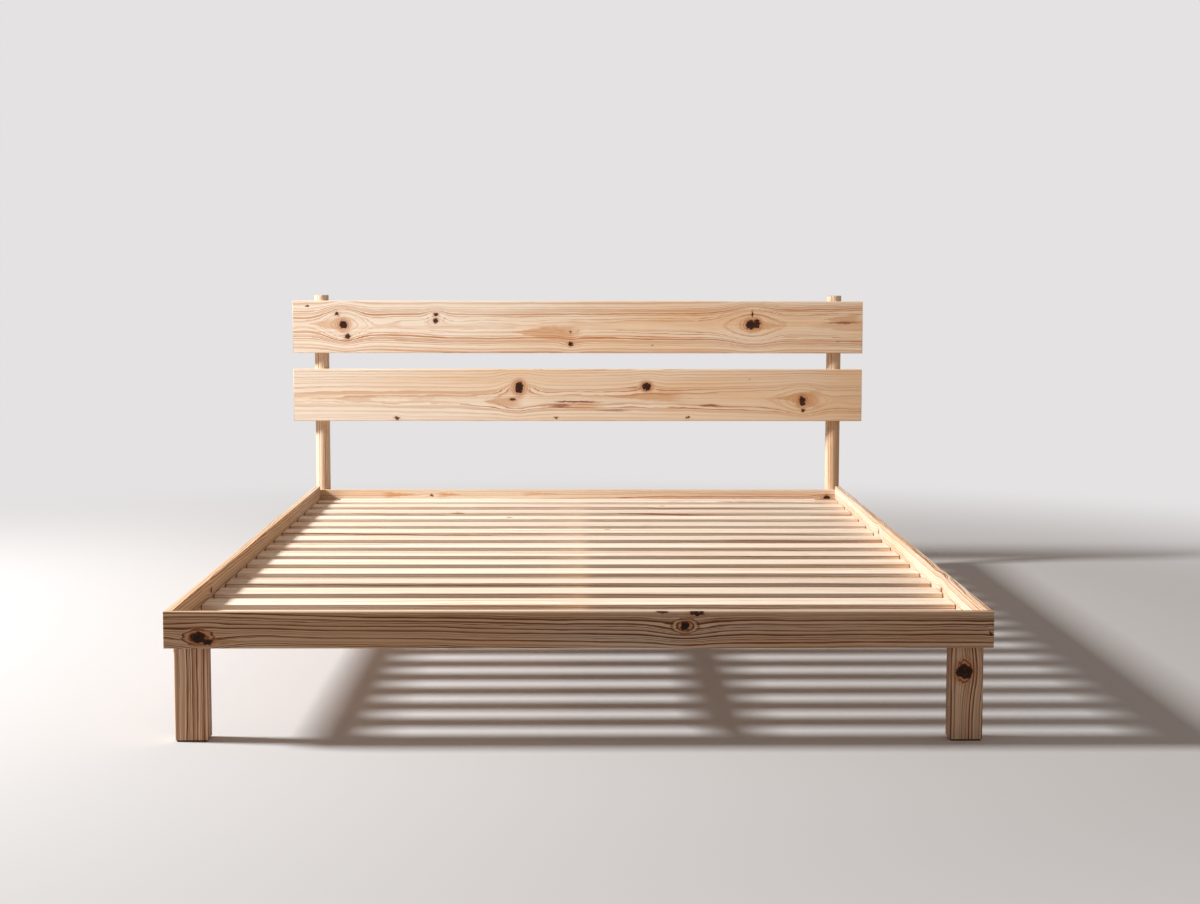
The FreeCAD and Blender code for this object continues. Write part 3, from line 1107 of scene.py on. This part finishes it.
def floor_finish():
    """Pale matt floor that fades into the backdrop far from the bed, and is clear from below."""
    material, tree = finish_tree("studio floor")
    place = tree.node("ShaderNodeTexCoord", output="Object")
    distance = tree.node("ShaderNodeVectorMath", {"operation": "LENGTH"}, {0: place}, "Value")
    far = distance.rise(*FLOOR_FADE)
    seen = seen_directly(tree)

    def by_view(kind, first, second):
        return tree.node("ShaderNodeMixShader", inputs={
            0: seen, 1: tree.node(kind, inputs=first), 2: tree.node(kind, inputs=second)})

    matt = by_view("ShaderNodeBsdfDiffuse", {"Color": FLOOR_BOUNCE}, {"Color": FLOOR_SEEN})
    glow = by_view(
        "ShaderNodeEmission", {"Color": BACKDROP, "Strength": FAR_GLOW},
        {"Color": BACKDROP, "Strength": 1.0})
    mixed = tree.node("ShaderNodeMixShader", inputs={0: far, 1: matt, 2: glow})
    underneath = tree.node("ShaderNodeNewGeometry", output="Backfacing")
    clear = tree.node("ShaderNodeBsdfTransparent")
    one_sided = tree.node("ShaderNodeMixShader", inputs={0: underneath, 1: mixed, 2: clear})
    tree.node("ShaderNodeOutputMaterial", inputs={"Surface": one_sided})
    return material


def studio():
    """Floor, soft light from the left and an even world."""
    mesh = bpy.data.meshes.new("floor")
    shape = bmesh.new()
    bmesh.ops.create_circle(shape, cap_ends=True, segments=96, radius=FLOOR_RADIUS)
    shape.to_mesh(mesh)
    shape.free()
    mesh.materials.append(floor_finish())
    added("floor", mesh)

    world = bpy.data.worlds.new("studio")
    world.use_nodes = True
    tree = Tree(world.node_tree)
    light = tree.node(
        "ShaderNodeBackground", inputs={"Color": ROOM_LIGHT, "Strength": ROOM_STRENGTH})
    wall = tree.node("ShaderNodeBackground", inputs={"Color": BACKDROP, "Strength": 1.0})
    mixed = tree.node("ShaderNodeMixShader", inputs={0: seen_directly(tree), 1: light, 2: wall})
    tree.node("ShaderNodeOutputWorld", inputs={"Surface": mixed})
    scene.world = world

    lamp = bpy.data.lights.new("window light", "AREA")
    lamp.shape = "RECTANGLE"
    lamp.size = LAMP_SIDE
    lamp.size_y = LAMP_SIDE
    lamp.energy = LAMP_POWER
    lamp.color = LAMP_COLOUR
    holder = added("window light", lamp)
    holder.location = LAMP_PLACE
    holder.rotation_euler = (LAMP_AIM - LAMP_PLACE).to_track_quat("-Z", "Y").to_euler()


def photograph_camera():
    """Camera at the photograph's place and angle."""
    yaw, pitch, roll = (math.radians(angle) for angle in CAMERA_ANGLES)
    ahead = Vector((math.sin(yaw), math.cos(yaw), 0))
    forward = ahead * math.cos(pitch) - Vector((0, 0, math.sin(pitch)))
    level = Vector((math.cos(yaw), -math.sin(yaw), 0))
    upright = level.cross(forward)
    right = level * math.cos(roll) + upright * math.sin(roll)
    up = right.cross(forward)
    turn = Matrix((right, up, -forward)).transposed()
    camera = bpy.data.cameras.new("camera")
    camera.sensor_width = 36.0
    camera.lens = CAMERA_LENS
    holder = added("camera", camera)
    holder.matrix_world = Matrix.Translation(CAMERA_PLACE) @ turn.to_4x4()
    scene.camera = holder


studio()
photograph_camera()
scene.view_settings.view_transform = "Standard"
